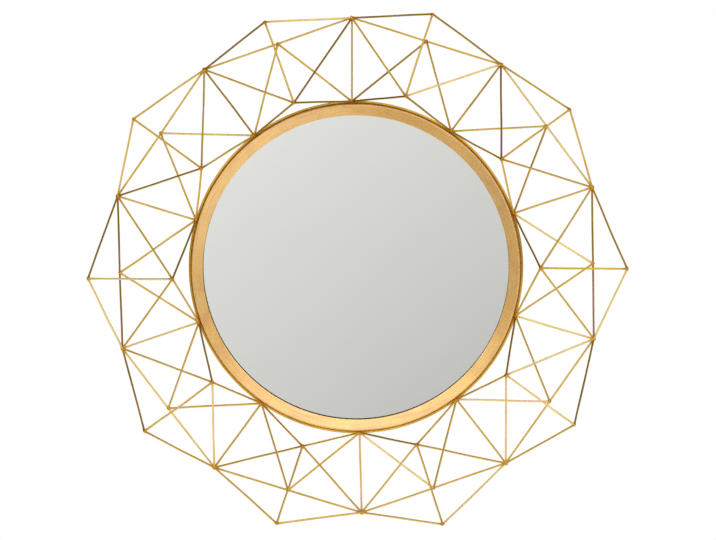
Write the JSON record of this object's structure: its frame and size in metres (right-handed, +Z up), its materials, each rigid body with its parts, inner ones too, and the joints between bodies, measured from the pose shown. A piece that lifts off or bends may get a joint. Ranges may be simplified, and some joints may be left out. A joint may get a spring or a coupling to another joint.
{
  "type": "wall mirror",
  "caption": "Round wall mirror with a gilt rim, ringed by a star of welded gold wire whose peaks and tips stand forward of the wall.",
  "frame": {"origin": "centre of the backing board's rear face, where it lies on the wall", "axes": "+Y out of the back into the wall, -Y the way the mirror looks, +Z up, +X to the right seen from the front"},
  "size_m": [0.8032, 0.0724, 0.7638],
  "materials": {
    "gilt_rim": "gold leaf over a turned metal rim, softly brushed round the face",
    "gilt_wire": "gold-finished steel wire, a little uneven, darker and browner in places and at the welds",
    "silvered_glass": "clear plain mirror glass",
    "black_board": "fibreboard painted matt black",
    "zinc_plate": "zinc-plated steel"
  },
  "bodies": {
    "root": {"frame_rim": "gilt_rim", "lattice_hoop": "gilt_wire", "mirror_glass": "silvered_glass", "backing_board": "black_board", "hanger_plate_left": "zinc_plate", "hanger_plate_right": "zinc_plate", "spoke_01": "gilt_wire", "spoke_02": "gilt_wire", "spoke_03": "gilt_wire", "spoke_04": "gilt_wire", "spoke_05": "gilt_wire", "spoke_06": "gilt_wire", "spoke_07": "gilt_wire", "spoke_08": "gilt_wire", "spoke_09": "gilt_wire", "spoke_10": "gilt_wire", "back_bar_01": "gilt_wire", "back_bar_02": "gilt_wire", "back_bar_03": "gilt_wire", "back_bar_04": "gilt_wire", "back_bar_05": "gilt_wire", "back_bar_06": "gilt_wire", "back_bar_07": "gilt_wire", "back_bar_08": "gilt_wire", "back_bar_09": "gilt_wire", "back_bar_10": "gilt_wire", "outer_chevron_01": "gilt_wire", "outer_chevron_02": "gilt_wire", "outer_chevron_03": "gilt_wire", "outer_chevron_04": "gilt_wire", "outer_chevron_05": "gilt_wire", "outer_chevron_06": "gilt_wire", "outer_chevron_07": "gilt_wire", "outer_chevron_08": "gilt_wire", "outer_chevron_09": "gilt_wire", "outer_chevron_10": "gilt_wire", "back_chevron_01": "gilt_wire", "back_chevron_02": "gilt_wire", "back_chevron_03": "gilt_wire", "back_chevron_04": "gilt_wire", "back_chevron_05": "gilt_wire", "back_chevron_06": "gilt_wire", "back_chevron_07": "gilt_wire", "back_chevron_08": "gilt_wire", "back_chevron_09": "gilt_wire", "back_chevron_10": "gilt_wire", "front_star_01": "gilt_wire", "front_star_02": "gilt_wire", "front_star_03": "gilt_wire", "front_star_04": "gilt_wire", "front_star_05": "gilt_wire", "front_star_06": "gilt_wire", "front_star_07": "gilt_wire", "front_star_08": "gilt_wire", "front_star_09": "gilt_wire", "front_star_10": "gilt_wire"}
  },
  "joints": []
}
